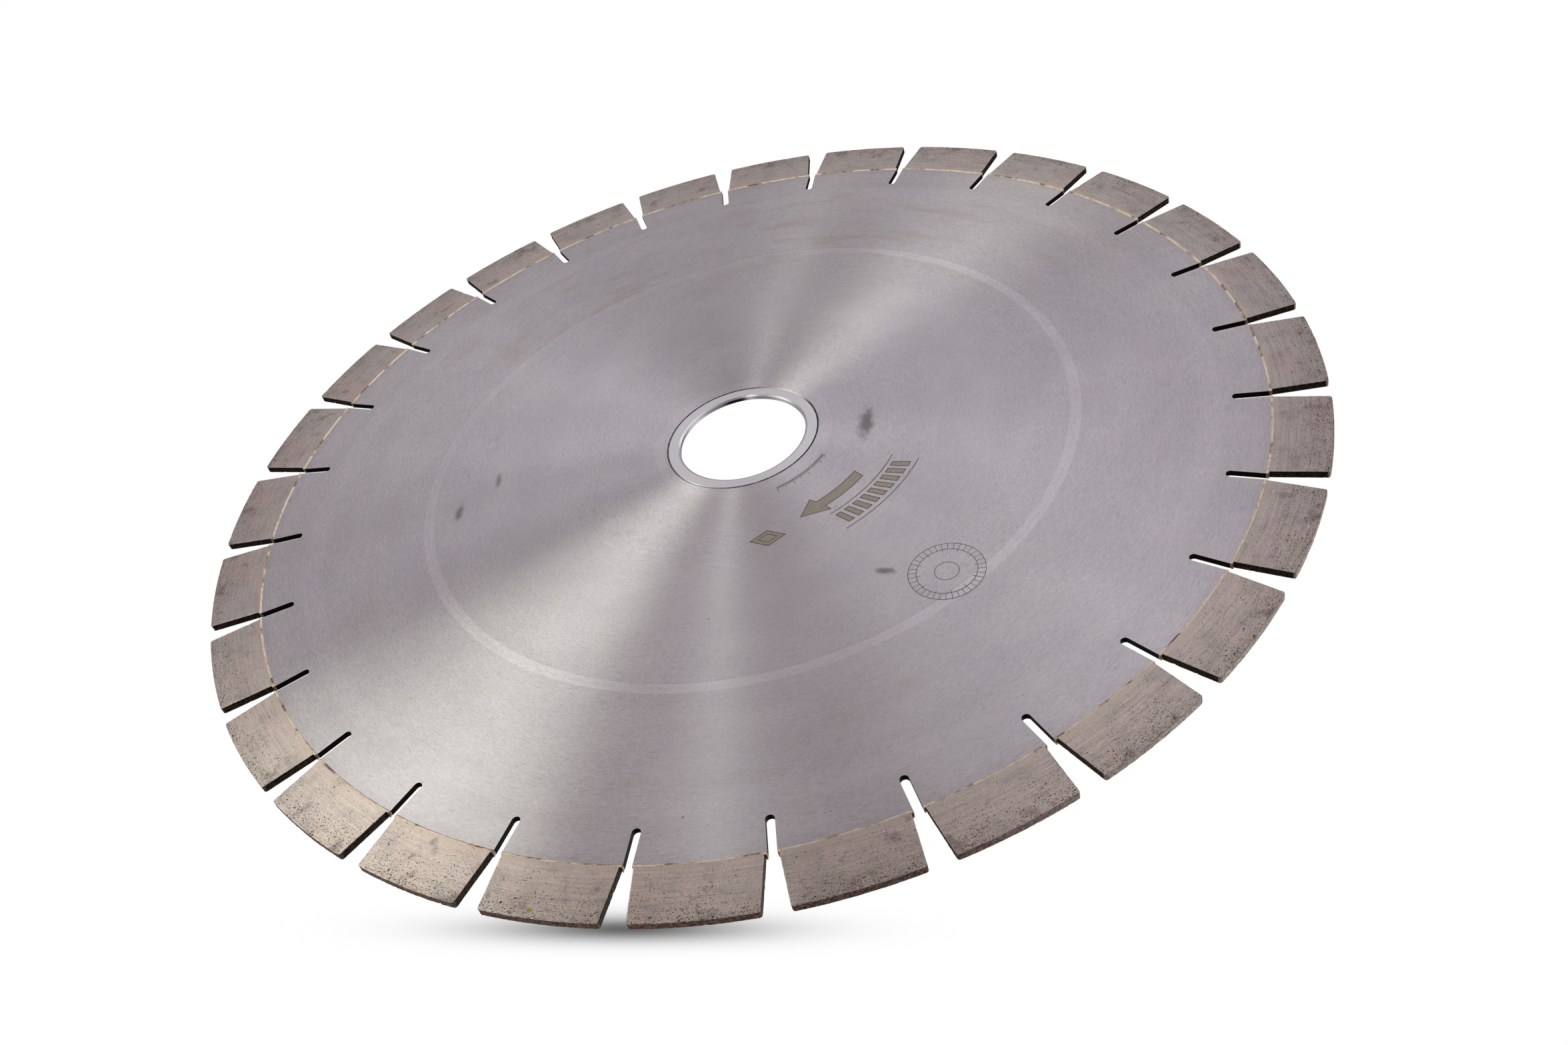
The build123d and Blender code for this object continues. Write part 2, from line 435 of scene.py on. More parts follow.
def braze_gold(name="braze_filler"):
    m = Tree(name).polar()
    n1 = m.noise(m.pos, 420.0, 4.0, 0.65)
    n2 = m.noise(m.vec("ADD", m.pos, (0.2, 0.5, 0.1)), 120.0, 2.0, 0.5)
    colour = m.mix(m.span(n1, 0.35, 0.7), (0.70, 0.58, 0.42), (0.88, 0.80, 0.66))
    brown = m.mul(m.span(n2, 0.52, 0.62), m.span(n1, 0.25, 0.6))
    colour = m.mix(m.mul(brown, 0.88), colour, (0.13, 0.070, 0.035))
    side = m.span(m.math("ABSOLUTE", m.y), 0.0011, 0.0006)
    colour = m.mix(m.mul(side, 0.75), colour, (0.10, 0.06, 0.03))
    rough = m.span(n1, 0.3, 0.7, 0.30, 0.52)
    bump = m.bump(n1, 0.00012, 0.6)
    m.set(Base_Color=colour, Roughness=rough, Normal=bump)
    m.bsdf.inputs["Metallic"].default_value = 0.9
    return m.mat


def bush_steel(name="turned_bush_steel"):
    m = Tree(name).polar()
    turned = m.streak(2.5, 5200.0, 2.0, 0.6)
    soft = m.streak(5.0, 900.0, 2.0, 0.5, 5.0)
    lean = m.math("ABSOLUTE", m.split(m.nor)[1])
    face = m.span(lean, 0.95, 0.985)
    wall = m.span(lean, 0.60, 0.20)
    level = m.add(m.add(m.mul(m.sub(turned, 0.5), 0.20), m.mul(m.sub(soft, 0.5), 0.10)), 1.0)
    colour = m.vec("SCALE", (0.602, 0.594, 0.606), scale=level)
    # dirt in the seam, more of it towards the lower right
    dull = m.noise(m.pos, 420.0, 3.0, 0.6)
    toward = m.vec("DOT_PRODUCT", m.dir, (0.906, 0.0, -0.423))
    edge_dirt = m.mul(m.span(m.r, 0.02958, 0.02976), m.span(dull, 0.30, 0.45))
    edge_dirt = m.mul(edge_dirt, m.span(toward, -0.15, 0.45, 0.15, 1.0))
    colour = m.mix(m.mul(edge_dirt, 0.92), colour, (0.035, 0.028, 0.027))
    wall_lines = m.noise(m.join(m.mul(m.dx, 2.0), m.mul(m.y, 5200.0), m.mul(m.dz, 2.0)), 1.0, 2.0, 0.6)
    colour = m.mix(m.mul(wall, m.span(wall_lines, 0.35, 0.75, 0.0, 0.35)), colour, (0.40, 0.39, 0.41))
    rough_value = m.add(m.add(m.mul(face, 0.10), 0.26), m.mul(m.sub(turned, 0.5), 0.08))
    rough_value = m.sub(rough_value, m.mul(wall, 0.09))
    bump = m.bump(m.add(m.mul(turned, face), m.mul(wall_lines, wall)), 0.00002, 0.4)
    tangent = m.vec("NORMALIZE", m.vec("ADD", m.vec("SCALE", m.dir, scale=m.sub(1.0, wall)), m.join(0.0, wall, 0.0)))
    m.set(Base_Color=colour, Roughness=rough_value, Normal=bump, Tangent=tangent)
    m.bsdf.inputs["Metallic"].default_value = 1.0
    m.bsdf.inputs["Anisotropic"].default_value = 0.6
    return m.mat


def etched(name, dark):
    """Laser-etched steel: the brushing shows through the stain."""
    m = Tree(name).polar()
    fine = m.streak(26.0, 2300.0, 2.0, 0.6)
    spots = m.noise(m.pos, 1600.0, 3.0, 0.6)
    if dark:
        a, b = (0.060, 0.040, 0.026), (0.115, 0.080, 0.055)
    else:
        a, b = (0.330, 0.300, 0.250), (0.400, 0.365, 0.310)
    colour = m.mix(m.span(spots, 0.35, 0.7), a, b)
    colour = m.vec("SCALE", colour, scale=m.add(m.mul(m.sub(fine, 0.5), 0.5), 1.0))
    m.set(Base_Color=colour, Roughness=m.span(fine, 0.3, 0.7, 0.46, 0.60), Tangent=m.dir)
    m.set(Normal=m.bump(fine, 0.00002, 0.3))
    m.bsdf.inputs["Metallic"].default_value = 0.55 if dark else 0.9
    m.bsdf.inputs["Anisotropic"].default_value = 0.6
    return m.mat


MAT = {
    "core": core_steel(),
    "segment": segment_matrix(),
    "braze": braze_gold(),
    "bush": bush_steel(),
    "etch_dark": etched("etched_outline", True),
    "etch_light": etched("etched_fill", False),
}


# ---------------------------------------------------------------------------
# Pieces
# ---------------------------------------------------------------------------
def new_mesh(name, verts, faces, mat, body="blade", smooth=True):
    me = bpy.data.meshes.new(name)
    me.from_pydata([tuple(v) for v in verts], [], [tuple(f) for f in faces])
    me.validate()
    me.update()
    ob = bpy.data.objects.new(name, me)
    bpy.context.scene.collection.objects.link(ob)
    me.materials.append(mat)
    if smooth:
        me.polygons.foreach_set("use_smooth", [True] * len(me.polygons))
    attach(ob, body)
    return ob


def fractal(points, scale, seed, octaves=3):
    """Fractal noise at each point, about -1 to 1."""
    off = Vector((seed * 13.7, seed * 7.1, seed * 3.3))
    out = np.empty(len(points))
    for i, p in enumerate(points):
        out[i] = noise.fractal(Vector(p) * scale + off, 0.9, 2.1, octaves)
    return out


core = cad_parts["steel_core"]
core.data.materials.clear()
core.data.materials.append(MAT["core"])


def lines_along(length, fine, step):
    """Positions along a side: close together near both ends, then evenly spaced."""
    inner = length / 2 - fine[-1]
    count = max(2, int(round(2 * inner / step)))
    middle = np.linspace(-inner, inner, count + 1)
    ends = np.array([length / 2 - f for f in fine[:-1]])
    return np.concatenate([-ends, middle, ends[::-1]])


def land(theta):
    t = math.radians(theta)
    return Vector((math.cos(t), 0, math.sin(t))), Vector((-math.sin(t), 0, math.cos(t)))


def make_segment(index):
    rng = random.Random(4100 + index)
    theta = FIRST_SLOT - (index + 0.5) * PITCH
    radial, along = land(theta)
    edge = 0.16
    corner = 0.8
    s_lines = lines_along(2 * SEG_HALF_LENGTH, [0.0, 0.18, 0.42, 0.70, 1.0], 0.62)
    depth = SEG_OUT - SEG_IN
    w_lines = lines_along(depth, [0.0, 0.18, 0.42, 0.70, 1.0], 0.62) + depth / 2
    ns, nw = len(s_lines), len(w_lines)
    shift = rng.uniform(-0.12, 0.16)
    tilt = math.radians(rng.uniform(-0.22, 0.22))
    slide = rng.uniform(-0.12, 0.12)

    def place(s, w, shrink):
        """Outline position for a grid point, with the outline drawn in by shrink."""
        half = SEG_HALF_LENGTH - shrink
        s = s / SEG_HALF_LENGTH * half
        w = shrink + w / depth * (depth - 2 * shrink)
        # round the two outer corners
        a = (np.abs(s) - (half - corner)) / corner
        b = (w - (depth - shrink - corner)) / corner
        inside = (a > 0) & (b > 0)
        m = np.maximum(a, b)
        ln = np.sqrt(a * a + b * b) + 1e-12
        a2 = np.where(inside, a * m / ln, a)
        b2 = np.where(inside, b * m / ln, b)
        s2 = np.sign(s) * (half - corner + a2 * corner)
        w2 = depth - shrink - corner + b2 * corner
        inner = np.sqrt(SEG_IN**2 - s2 * s2)
        outer = np.sqrt(SEG_OUT**2 - s2 * s2)
        x = inner + (outer - inner) * (w2 / depth)
        return s2, x

    gs, gw = np.meshgrid(s_lines, w_lines, indexing="ij")
    face_s, face_x = place(gs.ravel(), gw.ravel(), edge)
    # the boundary loop of the grid, in order
    loop = (
        [(i, 0) for i in range(ns)]
        + [(ns - 1, j) for j in range(1, nw)]
        + [(i, nw - 1) for i in range(ns - 2, -1, -1)]
        + [(0, j) for j in range(nw - 2, 0, -1)]
    )
    ls = np.array([s_lines[i] for i, _ in loop])
    lw = np.array([w_lines[j] for _, j in loop])
    rings = []  # (s, x, y) for each ring between the two faces
    half = SEG_HALF
    for shrink, y in (
        (edge * 0.29, -half + edge * 0.29),
        (0.0, -half + edge),
        (0.0, -half * 0.5),
        (0.0, 0.0),
        (0.0, half * 0.5),
        (0.0, half - edge),
        (edge * 0.29, half - edge * 0.29),
    ):
        s, x = place(ls, lw, shrink)
        rings.append((s, x, np.full(len(s), y)))
    os_, ox = place(ls, lw, 0.0)
    # outward direction of the outline in its own plane
    ds = np.roll(os_, -1) - np.roll(os_, 1)
    dx = np.roll(ox, -1) - np.roll(ox, 1)
    ln = np.hypot(ds, dx) + 1e-12
    out_s, out_x = -dx / ln, ds / ln
    if np.mean(out_x * (ox - np.mean(ox)) + out_s * os_) < 0:
        out_s, out_x = -out_s, -out_x

    pts = []
    for y in (-half, half):
        pts.append(np.stack([face_s, face_x, np.full(len(face_s), y)], 1))
    base_count = ns * nw
    for s, x, y in rings:
        pts.append(np.stack([s, x, y], 1))
    pts = np.concatenate(pts)

    # ragged edges: rough ends and cutting face, chips along the edges
    nl = len(loop)
    ring_start = 2 * base_count
    for k in range(7):
        a = ring_start + k * nl
        p = pts[a:a + nl]
        n = fractal(p * (1.0, 1.0, 1.6), 1.1, index + 1, 3)
        amount = 0.055 if k in (0, 6) else 0.085
        amount = amount + 0.05 * np.clip((p[:, 1] - 214.2) / 0.6, 0, 1)
        foot = np.clip((p[:, 1] - 195.9) / 0.8, 0, 1)
        pts[a:a + nl, 0] += out_s * n * amount * foot
        pts[a:a + nl, 1] += out_x * n * amount * foot
    for f in (0, 1):
        a = f * base_count
        p = pts[a:a + base_count]
        n = fractal(p, 0.35, index + 40 + f, 2)
        fine = fractal(p, 1.6, index + 80 + f, 2)
        pts[a:a + base_count, 2] += (1 if f else -1) * (n * 0.012 + fine * 0.006)
        # the grid's own boundary follows the ragged rings
        for m, (i, j) in enumerate(loop):
            q = a + i * nw + j
            r0 = ring_start + (0 if f == 0 else 6) * nl + m
            pts[q, 0] += (pts[r0, 0] - place(ls[m:m + 1], lw[m:m + 1], edge * 0.29)[0][0]) * 0.8
            pts[q, 1] += (pts[r0, 1] - place(ls[m:m + 1], lw[m:m + 1], edge * 0.29)[1][0]) * 0.8

    for _ in range(rng.randint(7, 12)):
        m = rng.randrange(nl)
        if ox[m] < 198.0:
            continue
        side = rng.choice((-1, 1))
        centre = np.array([os_[m], ox[m], side * half])
        size = rng.uniform(0.35, 0.95)
        dist = np.linalg.norm((pts - centre) * (1.0, 1.0, 0.8), axis=1)
        fall = np.clip(1 - dist / size, 0, 1) ** 1.5
        pull = rng.uniform(0.10, 0.28) * size
        pts[:, 0] -= fall * pull * out_s[m]
        pts[:, 1] -= fall * pull * out_x[m]
        pts[:, 2] -= fall * pull * side * 0.55

    # small differences between segments, as fixed by hand in a brazing jig
    c = np.array([0.0, SEG_IN + depth / 2])
    s, x = pts[:, 0] - c[0], pts[:, 1] - c[1]
    s, x = s * math.cos(tilt) - x * math.sin(tilt), s * math.sin(tilt) + x * math.cos(tilt)
    s, x = s + slide, x + c[1] + shift
    verts = (
        np.outer(x, np.array(radial)) + np.outer(s, np.array(along)) + np.outer(pts[:, 2], (0, 1, 0))
    ) * MM

    faces = []
    for i in range(ns - 1):
        for j in range(nw - 1):
            a = i * nw + j
            q = (a, a + nw, a + nw + 1, a + 1)
            faces.append(q[::-1])
            faces.append(tuple(v + base_count for v in q))
    front_loop = [i * nw + j for i, j in loop]
    back_loop = [base_count + v for v in front_loop]
    ring_loops = [front_loop] + [
        [ring_start + k * nl + m for m in range(nl)] for k in range(7)
    ] + [back_loop]
    for la, lb in zip(ring_loops, ring_loops[1:]):
        for m in range(nl):
            n2 = (m + 1) % nl
            faces.append((la[m], la[n2], lb[n2], lb[m]))
    name = f"diamond_segment_{index + 1:02d}"
    ob = new_mesh(f"segment_body_{index + 1:02d}", verts, faces, MAT["segment"])
    bm = bmesh.new()
    bm.from_mesh(ob.data)
    bmesh.ops.recalc_face_normals(bm, faces=bm.faces)
    bm.to_mesh(ob.data)
    bm.free()
    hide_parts(name)
    return ob


def make_braze(index):
    rng = random.Random(900 + index)
    theta = FIRST_SLOT - (index + 0.5) * PITCH
    half_angle = 5.93
    count = 90
    verts, faces = [], []
    loops = []
    seed = index * 3.17
    ends = [rng.uniform(0.25, 0.75) for _ in range(4)]

    def n(t, k, f=1.0):
        return noise.fractal(Vector((t * f, k * 5.3 + seed, seed * 0.7)), 0.9, 2.0, 3)

    for i in range(count + 1):
        u = -1 + 2 * i / count
        ang = theta + u * half_angle
        arc = u * half_angle * math.pi / 180 * 195.2
        half_loop = []
        for side in (-1, 1):
            k = 0 if side < 0 else 10
            low = 194.80 + 0.14 * n(arc, 1 + k, 0.9) + 0.06 * n(arc, 2 + k, 3.0)
            high = 195.62 + 0.15 * n(arc, 3 + k, 0.8) + 0.06 * n(arc, 4 + k, 3.0)
            swell = 0.03 + 0.03 * n(arc, 5 + k, 1.3)
            end = ends[(0 if u < 0 else 1) + (0 if side < 0 else 2)]
            near = max(0.0, 1 - (1 - abs(u)) * 20.0 / 0.9) ** 0.5
            high += near * end * 0.45
            swell += near * end * 0.03
            half_loop.append(
                [
                    (low, side * 1.085),
                    (low + 0.06, side * (1.115 + swell * 0.4)),
                    (low + 0.22, side * (1.15 + swell)),
                    (195.22, side * (1.30 + swell)),
                    (195.42, side * (1.425 + swell * 0.7)),
                    (high - 0.10, side * (1.415 + swell * 0.35)),
                    (high, side * 1.38),
                ]
            )
        section = half_loop[0] + half_loop[1][::-1]
        loops.append((ang, section, 1.0, 0.0))
    # rounded ends that stand a little proud of the land
    tail = []
    for extra, scale in ((0.10, 0.93), (0.20, 0.74), (0.26, 0.42)):
        tail.append((extra, scale))
    first, last = loops[0], loops[-1]
    loops = (
        [(first[0] - math.degrees(e / 195.2), first[1], sc, e) for e, sc in reversed(tail)]
        + loops
        + [(last[0] + math.degrees(e / 195.2), last[1], sc, e) for e, sc in tail]
    )
    m = len(loops[0][1])
    for ang, section, scale, _ in loops:
        radial, _a = land(ang)
        for r, y in section:
            rr = 195.25 + (r - 195.25) * scale
            verts.append((radial.x * rr * MM, y * scale * MM, radial.z * rr * MM))
    for i in range(len(loops) - 1):
        for j in range(m):
            a, b = i * m + j, i * m + (j + 1) % m
            faces.append((a, b, b + m, a + m))
    faces.append(tuple(range(m)))
    top = (len(loops) - 1) * m
    faces.append(tuple(range(top + m - 1, top - 1, -1)))
    ob = new_mesh(f"braze_bead_{index + 1:02d}", verts, faces, MAT["braze"])
    bm = bmesh.new()
    bm.from_mesh(ob.data)
    bmesh.ops.recalc_face_normals(bm, faces=bm.faces)
    bm.to_mesh(ob.data)
    bm.free()
    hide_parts(f"braze_joint_{index + 1:02d}")
    return ob


def lathe(name, profile, count, mat, body):
    """A closed ring from a closed profile of (radius, y) in millimetres."""
    verts, faces = [], []
    m = len(profile)
    for i in range(count):
        a = 2 * math.pi * i / count
        for r, y in profile:
            verts.append((r * math.cos(a) * MM, y * MM, r * math.sin(a) * MM))
    for i in range(count):
        k = (i + 1) % count
        for j in range(m):
            n2 = (j + 1) % m
            faces.append((i * m + j, i * m + n2, k * m + n2, k * m + j))
    ob = new_mesh(name, verts, faces, mat, body)
    bm = bmesh.new()
    bm.from_mesh(ob.data)
    bmesh.ops.recalc_face_normals(bm, faces=bm.faces)
    bm.to_mesh(ob.data)
    bm.free()
    return ob


def eased(points, radius, steps=3):
    """The closed profile with each corner rounded off."""
    out = []
    count = len(points)
    for i, p in enumerate(points):
        a, b = Vector(points[i - 1]), Vector(points[(i + 1) % count])
        c = Vector(p)
        r1 = min(radius, (a - c).length * 0.4)
        r2 = min(radius, (b - c).length * 0.4)
        p1, p2 = c + (a - c).normalized() * r1, c + (b - c).normalized() * r2
        for k in range(steps + 1):
            t = k / steps
            q = (1 - t) ** 2 * p1 + 2 * t * (1 - t) * c + t * t * p2
            out.append((q.x, q.y))
    return out


def with_guards(points, guard):
    """Adds points close to the ends of long edges, so that smooth shading stays flat between them."""
    out = []
    count = len(points)
    for i in range(count):
        a, b = Vector(points[i]), Vector(points[(i + 1) % count])
        out.append(tuple(a))
        if (b - a).length > 4 * guard:
            d = (b - a).normalized()
            out.append(tuple(a + d * guard))
            out.append(tuple(b - d * guard))
    return out


for index in range(28):
    make_segment(index)
    make_braze(index)

bush_profile = [
    (25.0, -0.75), (25.8, -1.1), (29.68, -1.1), (29.98, -0.8),
    (29.98, 0.8), (29.68, 1.1), (25.8, 1.1), (25.0, 0.75),
]
bush = lathe("bush_ring", with_guards(eased(bush_profile, 0.07), 0.03), 384, MAT["bush"], "bush")
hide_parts("reducer_bush")


# ---------------------------------------------------------------------------
# Etched marks on the front face: a rotation arrow and plain geometric marks
# ---------------------------------------------------------------------------
class Marks:
    """Flat shapes on the front face, gathered into one thin mesh."""

    def __init__(self, name, level, mat):
        self.name, self.level, self.mat = name, level, mat
        self.verts, self.faces = [], []

    def polygon(self, pts):
        """A filled shape, as a thin closed plate."""
        base = len(self.verts)
        n = len(pts)
        top = -(CORE_HALF + self.level)
        low = -(CORE_HALF - 0.02)
        self.verts += [(x * MM, top * MM, z * MM) for x, z in pts]
        self.verts += [(x * MM, low * MM, z * MM) for x, z in pts]
        self.faces.append(tuple(range(base, base + n)))
        self.faces.append(tuple(range(base + 2 * n - 1, base + n - 1, -1)))
        for i in range(n):
            j = (i + 1) % n
            self.faces.append((base + i, base + n + i, base + n + j, base + j))

    def line(self, pts, width, closed=False):
        """A stroke of even width, as a thin closed strip."""
        n = len(pts)
        left, right = [], []
        for i, p in enumerate(pts):
            a = pts[i - 1] if (closed or i > 0) else p
            b = pts[(i + 1) % n] if (closed or i < n - 1) else p
            d1 = Vector((p[0] - a[0], p[1] - a[1]))
            d2 = Vector((b[0] - p[0], b[1] - p[1]))
            if d1.length < 1e-9:
                d1 = d2
            if d2.length < 1e-9:
                d2 = d1
            n1 = Vector((-d1.y, d1.x)).normalized()
            n2 = Vector((-d2.y, d2.x)).normalized()
            mid = n1 + n2
            mid = mid.normalized() if mid.length > 1e-6 else n1
            k = min(2.2, 1.0 / max(0.3, mid.dot(n1)))
            off = mid * (width / 2 * k)
            left.append((p[0] + off.x, p[1] + off.y))
            right.append((p[0] - off.x, p[1] - off.y))
        base = len(self.verts)
        top = -(CORE_HALF + self.level)
        low = -(CORE_HALF - 0.02)
        for y in (top, low):
            for x, z in left:
                self.verts.append((x * MM, y * MM, z * MM))
            for x, z in right:
                self.verts.append((x * MM, y * MM, z * MM))
        tl, tr, bl, br = base, base + n, base + 2 * n, base + 3 * n
        last = n if closed else n - 1
        for i in range(last):
            j = (i + 1) % n
            self.faces.append((tl + i, tl + j, tr + j, tr + i))
            self.faces.append((bl + i, br + i, br + j, bl + j))
            self.faces.append((tl + i, bl + i, bl + j, tl + j))
            self.faces.append((tr + i, tr + j, br + j, br + i))
        if not closed:
            self.faces.append((tl, tr, br, bl))
            e = n - 1
            self.faces.append((tl + e, bl + e, br + e, tr + e))

    def done(self):
        ob = new_mesh(self.name, self.verts, self.faces, self.mat, "blade", smooth=False)
        bm = bmesh.new()
        bm.from_mesh(ob.data)
        bmesh.ops.triangulate(bm, faces=[f for f in bm.faces if len(f.verts) > 4])
        bmesh.ops.recalc_face_normals(bm, faces=bm.faces)
        bm.to_mesh(ob.data)
        bm.free()
        return ob


def ring_point(r, deg):
    a = math.radians(deg)
    return (r * math.cos(a), r * math.sin(a))


def arc(r, a, b, steps):
    return [ring_point(r, a + (b - a) * i / steps) for i in range(steps + 1)]


fills = Marks("etched_fill", 0.012, MAT["etch_light"])
lines = Marks("etched_outline", 0.022, MAT["etch_dark"])

# the arrow: the blade turns clockwise as seen from the front
arrow = (
    arc(58.6, -42.0, -61.0, 24)
    + [ring_point(61.4, -60.3), ring_point(57.6, -70.6), ring_point(51.6, -63.4), ring_point(54.2, -62.2)]
    + arc(54.2, -61.6, -41.0, 24)
)
fills.polygon(arrow)
lines.line(arrow, 0.30, closed=True)

# a graduated scale, concentric with the bore
lines.line(arc(37.0, -72.0, -36.0, 40), 0.28)
for i in range(37):
    a = -72.0 + i
    size = 2.6 if i % 10 == 0 else (1.9 if i % 5 == 0 else 1.2)
    lines.line([ring_point(37.0, a), ring_point(37.0 + size, a)], 0.22)

# a band of slanting bars outside the arrow
for i in range(9):
    a = -61.0 + i * 3.35
    bar = [ring_point(65.5, a), ring_point(65.5, a + 1.9), ring_point(72.0, a + 3.1), ring_point(72.0, a + 1.2)]
    fills.polygon(bar)
    lines.line(bar, 0.30, closed=True)
lines.line(arc(74.2, -62.0, -29.0, 40), 0.30)
lines.line(arc(63.6, -62.0, -29.0, 40), 0.30)

# a lozenge beside the arrow's head
cx, cz = ring_point(62.0, -84.0)
lozenge = [(cx - 6.5, cz), (cx, cz - 4.0), (cx + 6.5, cz), (cx, cz + 4.0)]
fills.polygon(lozenge)
lines.line(lozenge, 0.30, closed=True)
inner = [(cx - 3.6, cz), (cx, cz - 2.2), (cx + 3.6, cz), (cx, cz + 2.2)]
lines.line(inner, 0.24, closed=True)

# a thin-lined dial further out
cx, cz = 66.0, -97.0
for rad in (13.2, 10.4, 4.2):
    ring = [(cx + rad * math.cos(2 * math.pi * i / 72), cz + rad * math.sin(2 * math.pi * i / 72)) for i in range(72)]
    lines.line(ring, 0.20, closed=True)
for i in range(36):
    a = 2 * math.pi * i / 36
    r0 = 10.4 if i % 3 else 9.2
    lines.line(
        [(cx + r0 * math.cos(a), cz + r0 * math.sin(a)), (cx + 13.2 * math.cos(a), cz + 13.2 * math.sin(a))], 0.16
    )
fills.done()
lines.done()


# ---------------------------------------------------------------------------
# Stage: camera, lights, backdrop
# ---------------------------------------------------------------------------
scene = bpy.context.scene
cam_data = bpy.data.cameras.new("photo_camera")
cam_data.lens = 33.46828
cam_data.sensor_width = 36.0
cam_data.clip_start = 0.01
cam_data.clip_end = 100.0
cam = bpy.data.objects.new("photo_camera", cam_data)
scene.collection.objects.link(cam)
cam.matrix_world = Matrix((
    (0.97189035, 0.21255361, 0.10124282, 0.06586266),
    (0.22616448, -0.72341464, -0.65231962, -0.34235867),
    (-0.06541236, 0.65688067, -0.75115179, -0.44826221),
    (0.0, 0.0, 0.0, 1.0),
))
scene.camera = cam


def area(name, place, size, watts, colour=(1.0, 1.0, 1.0), target=(0.0, 0.0, 0.0), size_y=None):
    data = bpy.data.lights.new(name, "AREA")
    data.energy = watts
    data.color = colour
    data.size = size
    if size_y is not None:
        data.shape = "RECTANGLE"
        data.size_y = size_y
    ob = bpy.data.objects.new(name, data)
    ob.location = place
    direction = Vector(target) - Vector(place)
    ob.rotation_mode = "QUATERNION"
    ob.rotation_quaternion = direction.to_track_quat("-Z", "Y")
    scene.collection.objects.link(ob)
    ob.visible_camera = False
    return ob


# Each light throws one soft streak across the brushed disc, along the line
# where the turned grain reflects it to the camera.
FRONT_LIGHTS = (
    ("top_fill", (-0.151, -0.668, 0.797), 0.233, 0.174, (0.907, 1.0, 1.105)),
    ("spark", (-0.475, -1.957, 0.233), 0.040, 0.92, (0.947, 1.0, 0.952)),
    ("right_wing", (0.189, -0.809, 0.438), 0.351, 0.436, (0.943, 1.0, 1.059)),
    ("far_top", (0.093, -1.727, 2.441), 0.060, 0.395, (0.892, 1.0, 1.192)),
    ("left_key", (-0.592, -0.563, 0.125), 0.465, 1.658, (0.958, 1.0, 0.896)),
    ("near_right", (0.191, -0.478, 0.474), 0.144, 0.119, (0.976, 1.0, 1.090)),
)
for light_name, place, size, watts, colour in FRONT_LIGHTS:
    area(light_name, place, size, watts, colour)
    # one like it behind the blade, further off and softer, for the back face
    near, far = Vector(place).length, Vector((place[0], 2.2 * place[1], place[2])).length
    area("back_" + light_name, (-place[0], -2.2 * place[1], place[2]), 1.6 * size, 0.8 * watts * (far / near) ** 2, colour)

world = bpy.data.worlds.new("studio")
scene.world = world
world.use_nodes = True
wt = world.node_tree
wt.nodes.clear()
w_out = wt.nodes.new("ShaderNodeOutputWorld")
w_mix = wt.nodes.new("ShaderNodeMixShader")
w_path = wt.nodes.new("ShaderNodeLightPath")
w_white = wt.nodes.new("ShaderNodeBackground")
w_fill = wt.nodes.new("ShaderNodeBackground")
w_white.inputs["Color"].default_value = (1.0, 1.0, 1.0, 1.0)
w_white.inputs["Strength"].default_value = 1.0
w_fill.inputs["Color"].default_value = (1.0, 0.881, 0.899, 1.0)
w_fill.inputs["Strength"].default_value = 0.49
def w_node(kind, op, *values):
    n = wt.nodes.new(kind)
    n.operation = op
    for i, v in enumerate(values):
        if isinstance(v, bpy.types.NodeSocket):
            wt.links.new(v, n.inputs[i])
        else:
            n.inputs[i].default_value = v
    return n.outputs["Value"]


# Behind the blade the studio has a broad bright side on the right, a weaker one
# on the left, a narrow reflector low on the left and black cloth below. They
# show as bands in the polished wall of the bore.
w_geo = wt.nodes.new("ShaderNodeTexCoord").outputs["Generated"]
w_split = wt.nodes.new("ShaderNodeSeparateXYZ")
wt.links.new(w_geo, w_split.inputs[0])
w_turn = w_node("ShaderNodeMath", "ARCTAN2", w_split.outputs[2], w_split.outputs[0])


def panel(degrees, level, narrow):
    """A soft patch behind the blade, placed by its angle from +X as seen from the front."""
    off = w_node("ShaderNodeMath", "COSINE", w_node("ShaderNodeMath", "SUBTRACT", w_turn, math.radians(degrees)))
    near = w_node("ShaderNodeMath", "EXPONENT", w_node("ShaderNodeMath", "MULTIPLY", w_node("ShaderNodeMath", "SUBTRACT", off, 1.0), narrow))
    return w_node("ShaderNodeMath", "MULTIPLY", near, level)


w_panels = w_node("ShaderNodeMath", "ADD", panel(0.0, 0.7, 8.0), panel(175.0, 0.4, 10.0))
w_panels = w_node("ShaderNodeMath", "ADD", w_panels, panel(245.0, 0.7, 80.0))
w_panels = w_node("ShaderNodeMath", "ADD", w_panels, 0.3)
w_cloth = w_node("ShaderNodeMath", "SUBTRACT", 1.0, w_node("ShaderNodeMath", "MINIMUM", panel(270.0, 1.6, 16.0), 1.0))
w_panels = w_node("ShaderNodeMath", "MULTIPLY", w_panels, w_cloth)
w_back = w_node("ShaderNodeMath", "SMOOTH_MIN", 1.0, w_node("ShaderNodeMath", "MAXIMUM", w_node("ShaderNodeMath", "MULTIPLY", w_node("ShaderNodeMath", "SUBTRACT", w_split.outputs[1], 0.10), 4.0), 0.0), 0.2)
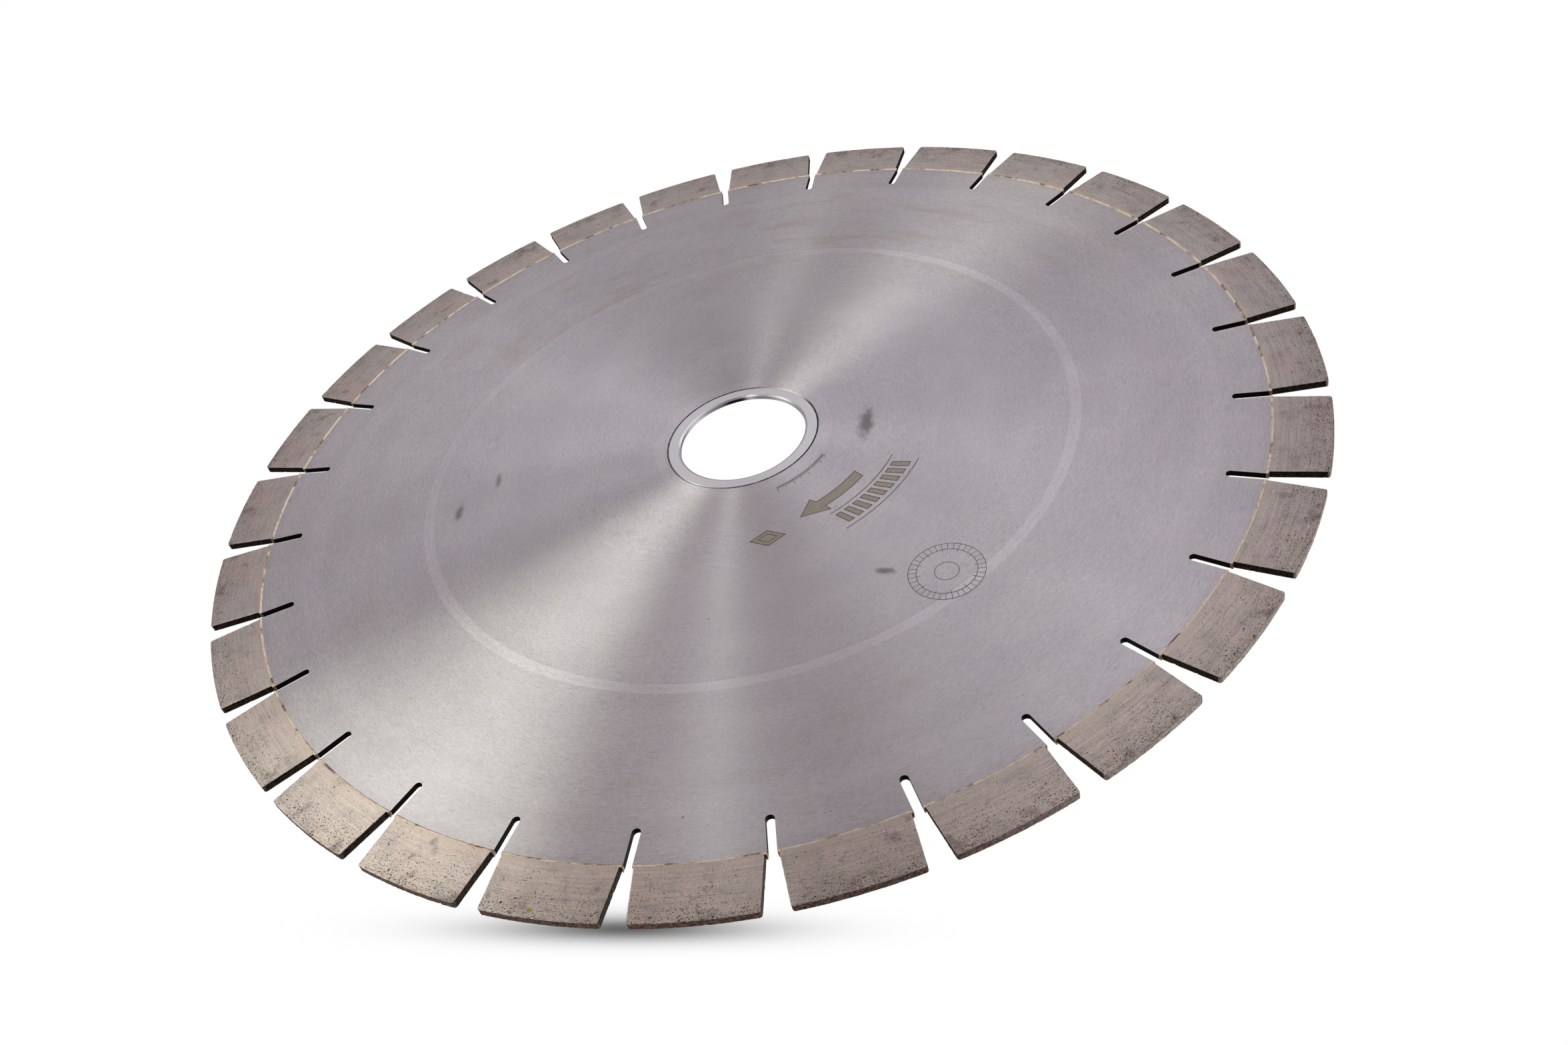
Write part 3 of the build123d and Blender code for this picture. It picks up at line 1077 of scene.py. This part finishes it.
# in front there is one dark patch, where the camera stands
w_near = w_node("ShaderNodeVectorMath", "DOT_PRODUCT", w_geo, (-0.055, -0.994, 0.094))
w_near = w_node("ShaderNodeMath", "EXPONENT", w_node("ShaderNodeMath", "MULTIPLY", w_node("ShaderNodeMath", "SUBTRACT", w_near, 1.0), 50.0))
w_front = w_node("ShaderNodeMath", "MULTIPLY", 0.49, w_node("ShaderNodeMath", "SUBTRACT", 1.0, w_node("ShaderNodeMath", "MULTIPLY", w_near, 0.9)))
w_front = w_node("ShaderNodeMath", "MULTIPLY", w_front, w_node("ShaderNodeMath", "SUBTRACT", 1.0, w_back))
w_level = w_node("ShaderNodeMath", "ADD", w_front, w_node("ShaderNodeMath", "MULTIPLY", w_panels, w_back))
wt.links.new(w_level, w_fill.inputs["Strength"])
w_tint = wt.nodes.new("ShaderNodeMix")
w_tint.data_type = "RGBA"
wt.links.new(w_back, w_tint.inputs[0])
w_tint.inputs[6].default_value = (1.0, 0.881, 0.899, 1.0)
w_tint.inputs[7].default_value = (0.95, 0.92, 0.94, 1.0)
wt.links.new(w_tint.outputs[2], w_fill.inputs["Color"])

# the white backdrop carries one soft grey shadow, low behind the near rim
w_dir = wt.nodes.new("ShaderNodeTexCoord").outputs["Generated"]
ahead = w_node("ShaderNodeVectorMath", "DOT_PRODUCT", w_dir, (-0.10124282, 0.65231962, 0.75115179))
side = w_node("ShaderNodeVectorMath", "DOT_PRODUCT", w_dir, (0.97189035, 0.22616448, -0.06541236))
upward = w_node("ShaderNodeVectorMath", "DOT_PRODUCT", w_dir, (0.21255361, -0.72341464, 0.65688067))
across = w_node("ShaderNodeMath", "DIVIDE", side, ahead)
height = w_node("ShaderNodeMath", "DIVIDE", upward, ahead)
su = w_node("ShaderNodeMath", "DIVIDE", w_node("ShaderNodeMath", "ADD", across, 0.1079), 0.0709)
sv = w_node("ShaderNodeMath", "DIVIDE", w_node("ShaderNodeMath", "ADD", height, 0.2790), 0.0068)
far = w_node("ShaderNodeMath", "ADD", w_node("ShaderNodeMath", "MULTIPLY", su, su), w_node("ShaderNodeMath", "MULTIPLY", sv, sv))
fade = w_node("ShaderNodeMath", "EXPONENT", w_node("ShaderNodeMath", "MULTIPLY", far, -0.5))
in_front = w_node("ShaderNodeMath", "GREATER_THAN", ahead, 0.2)
dark = w_node("ShaderNodeMath", "MULTIPLY", w_node("ShaderNodeMath", "MULTIPLY", fade, 0.86), in_front)
wt.links.new(w_node("ShaderNodeMath", "SUBTRACT", 1.0, dark), w_white.inputs["Strength"])
wt.links.new(w_path.outputs["Is Camera Ray"], w_mix.inputs[0])
wt.links.new(w_fill.outputs[0], w_mix.inputs[1])
wt.links.new(w_white.outputs[0], w_mix.inputs[2])
wt.links.new(w_mix.outputs[0], w_out.inputs["Surface"])

# a pale floor, well below the blade
floor_tree = Tree("pale_floor")
floor_noise = floor_tree.noise(floor_tree.pos, 3.0, 2.0, 0.5)
floor_tree.set(Base_Color=floor_tree.mix(floor_noise, (0.90, 0.90, 0.90), (0.92, 0.92, 0.92)), Roughness=0.9)
floor_tree.bsdf.inputs["Emission Color"].default_value = (1.0, 1.0, 1.0, 1.0)
floor_tree.bsdf.inputs["Emission Strength"].default_value = 0.78
bm = bmesh.new()
bmesh.ops.create_grid(bm, x_segments=4, y_segments=4, size=12.0)
me = bpy.data.meshes.new("floor")
bm.to_mesh(me)
bm.free()
floor = bpy.data.objects.new("floor", me)
floor.location = (0.0, 0.0, -0.62)
me.materials.append(floor_tree.mat)
scene.collection.objects.link(floor)
floor.visible_diffuse = False
floor.visible_glossy = False
floor.visible_shadow = False

scene.view_settings.view_transform = "Standard"
scene.view_settings.look = "None"
scene.view_settings.exposure = 0.0
scene.view_settings.gamma = 1.0
